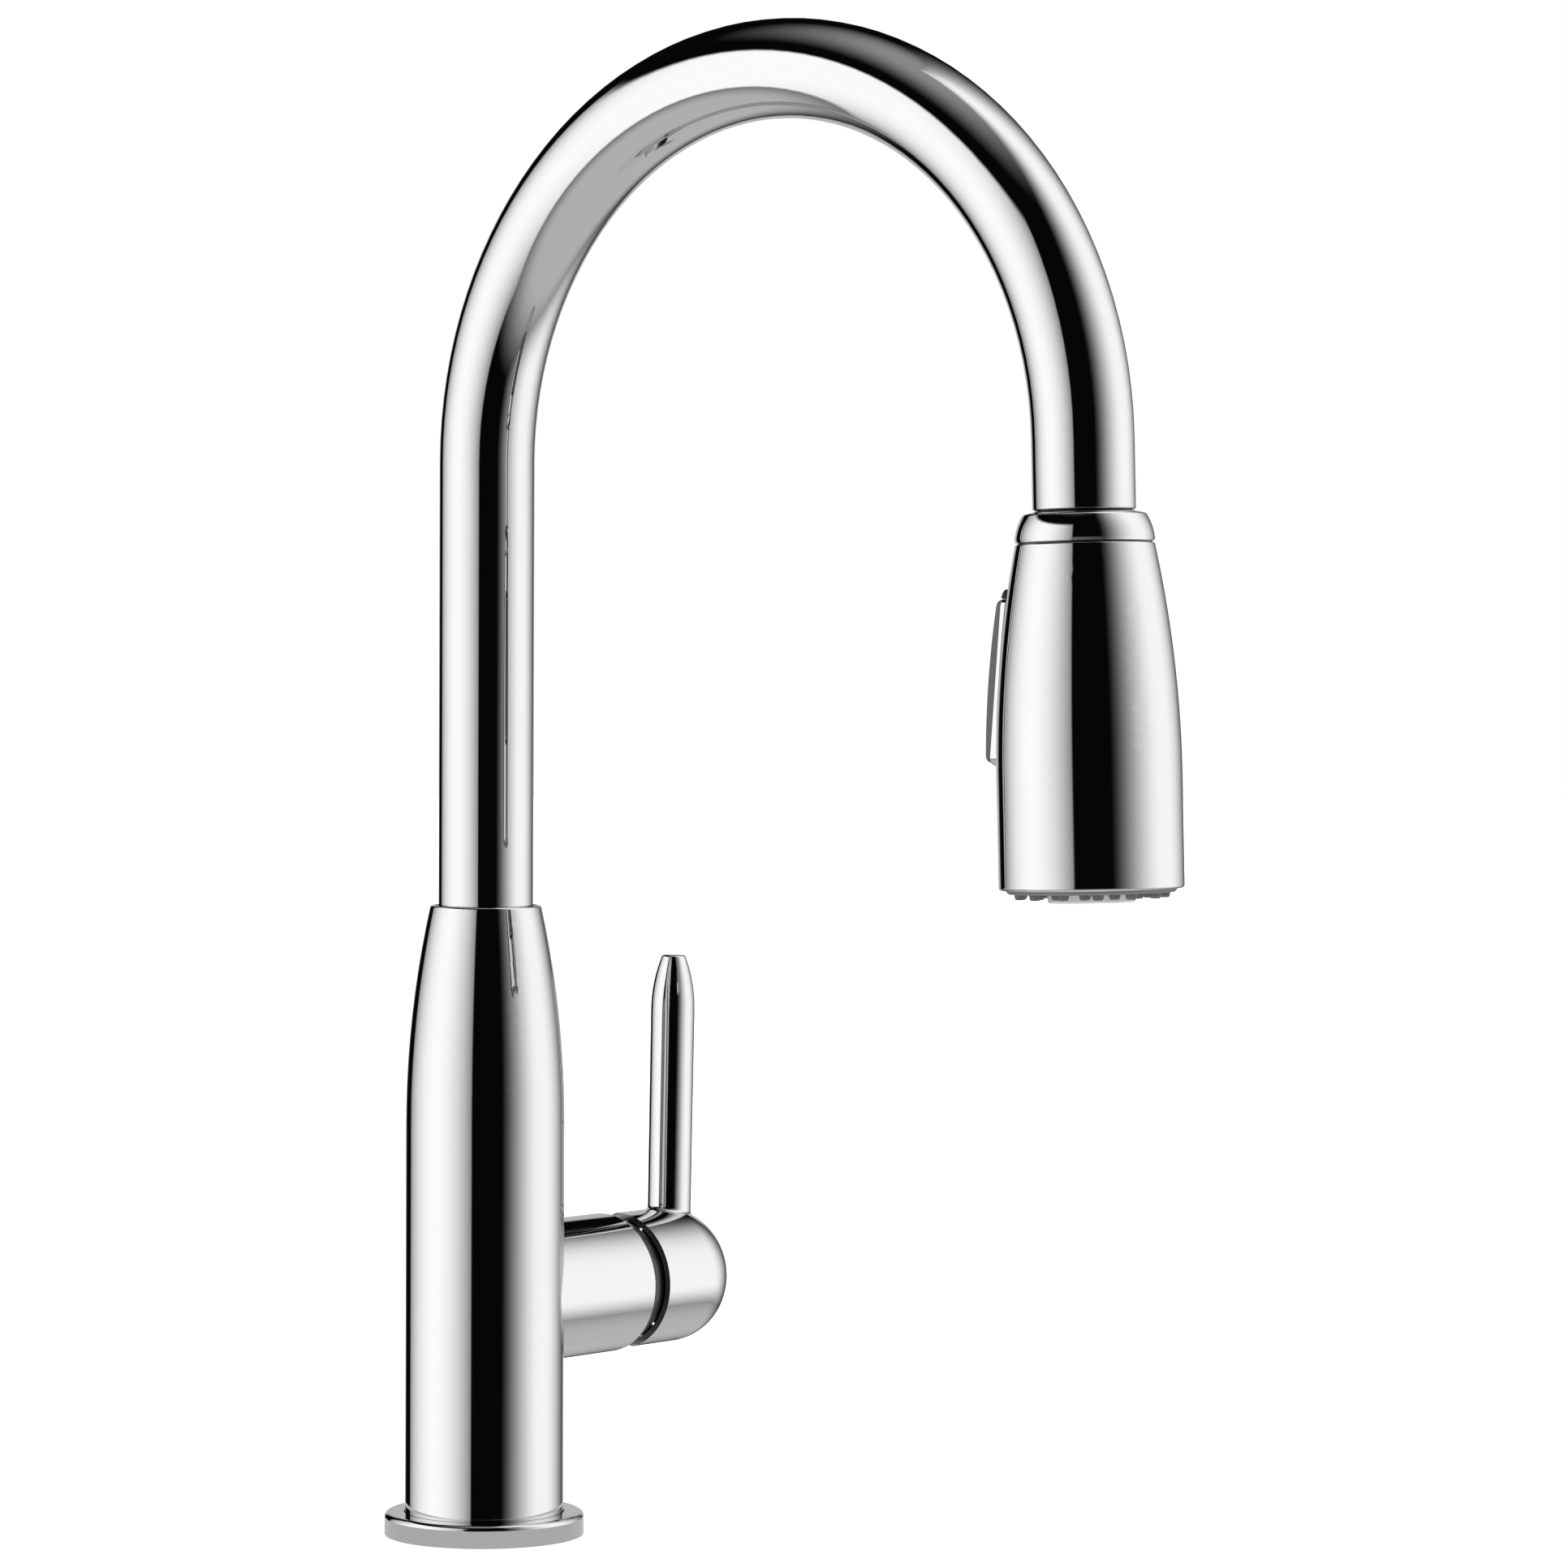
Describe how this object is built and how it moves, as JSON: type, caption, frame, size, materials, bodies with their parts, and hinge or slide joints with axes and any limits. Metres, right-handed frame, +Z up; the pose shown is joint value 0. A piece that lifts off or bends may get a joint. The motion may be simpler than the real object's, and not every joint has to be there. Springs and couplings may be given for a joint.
{
  "type": "pull down kitchen faucet",
  "caption": "Single-lever kitchen faucet with a tall swivelling gooseneck spout and a round pull-down spray wand with a rocker button, in polished chrome.",
  "frame": {"origin": "centre of the base ring's underside, on the deck, on the riser's axis", "axes": "+Z up along the riser, the spout reaches towards -Y, the lever hub stands out towards +X"},
  "size_m": [0.1148, 0.251, 0.4487],
  "materials": {
    "chrome": "polished chrome plate",
    "rubber": "matte black rubber",
    "grey_rubber": "dark grey silicone",
    "brass": "machined brass",
    "steel": "plain stainless steel",
    "black_plastic": "black moulded plastic",
    "white_plastic": "off-white acetal",
    "ceramic": null,
    "face_plastic": "grey moulded plastic",
    "aerator_plastic": "light grey moulded plastic",
    "hose_braid": "woven nylon braid over a hose liner"
  },
  "bodies": {
    "root": {"base_ring": "chrome", "base_gasket": "rubber", "mounting_shank": "brass", "rubber_washer": "rubber", "steel_washer": "steel", "mounting_nut": "black_plastic", "body_shell": "chrome", "valve_body": "brass", "supply_nipples": "brass", "port_seals": "rubber", "cartridge_base": "white_plastic", "fixed_disc": "ceramic", "cartridge_housing": "white_plastic", "bonnet_nut": "brass", "bonnet_cap": "black_plastic", "swivel_bush": "white_plastic", "neck_ring": "black_plastic"},
    "temperature": {"cartridge_rotor": "white_plastic", "lift_pin": "steel"},
    "mixing_disc": {"moving_disc": "ceramic", "disc_carrier": "white_plastic"},
    "handle": {"handle_casting": "chrome", "handle_stem": "steel", "set_screw": "steel", "screw_plug": "black_plastic"},
    "spout": {"spout_tube": "chrome", "spout_foot": "brass", "spout_o_rings": "rubber", "retaining_clip": "steel", "dock_insert": "black_plastic", "dock_magnet": "steel", "pull_hose": "hose_braid"},
    "hose_end": {"hose_ferrule": "steel", "hose_stub": "hose_braid", "hose_tailpiece": "brass", "check_valve": "white_plastic"},
    "wand": {"swivel_nut": "brass", "wand_core": "black_plastic", "docking_ring": "steel", "wand_collar": "chrome", "wand_shell": "chrome", "rocker_gasket": "rubber", "rocker_pin": "steel", "spray_face": "face_plastic", "nozzle_pad": "grey_rubber", "aerator_housing": "aerator_plastic", "aerator_screen": "aerator_plastic", "aerator_o_ring": "rubber"},
    "rocker": {"rocker_button": "chrome", "rocker_pad": "grey_rubber"},
    "diverter": {"diverter_spool": "white_plastic"}
  },
  "joints": [
    {"name": "spout_swivel", "type": "hinge", "parent": "root", "child": "spout", "pos_m": [0, 0, 0.13], "axis": [0, 0, 1], "continuous": true},
    {"name": "wand_pull", "type": "slide", "parent": "spout", "child": "hose_end", "axis": [0, -0.0319, -0.9995], "range_m": [0, 0.15], "deforming": ["pull_hose"]},
    {"name": "wand_turn", "type": "hinge", "parent": "hose_end", "child": "wand", "pos_m": [0, -0.19881, 0.26317], "axis": [0, -0.0319, -0.9995], "continuous": true},
    {"name": "spray_toggle", "type": "hinge", "parent": "wand", "child": "rocker", "pos_m": [0, -0.18385, 0.23038], "axis": [1, 0, 0], "range_deg": [-4, 4]},
    {"name": "diverter_slide", "type": "slide", "parent": "wand", "child": "diverter", "axis": [0, -0.0319, -0.9995], "range_m": [-0.0005, 0.0005]},
    {"name": "temperature_turn", "type": "hinge", "parent": "root", "child": "temperature", "pos_m": [0.046, 0, 0.0632], "axis": [1, 0, 0], "range_deg": [-45, 45]},
    {"name": "lever_lift", "type": "hinge", "parent": "temperature", "child": "handle", "pos_m": [0.046, 0, 0.0632], "axis": [0, 1, 0], "range_deg": [0, 16]},
    {"name": "disc_slide", "type": "slide", "parent": "temperature", "child": "mixing_disc", "axis": [0, 0, 1], "range_m": [0, 0.0047]}
  ],
  "couplings": [
    {"joint": "diverter_slide", "follows": "spray_toggle", "m_per_rad": 0.0061},
    {"joint": "disc_slide", "follows": "lever_lift", "m_per_rad": 0.01599}
  ]
}
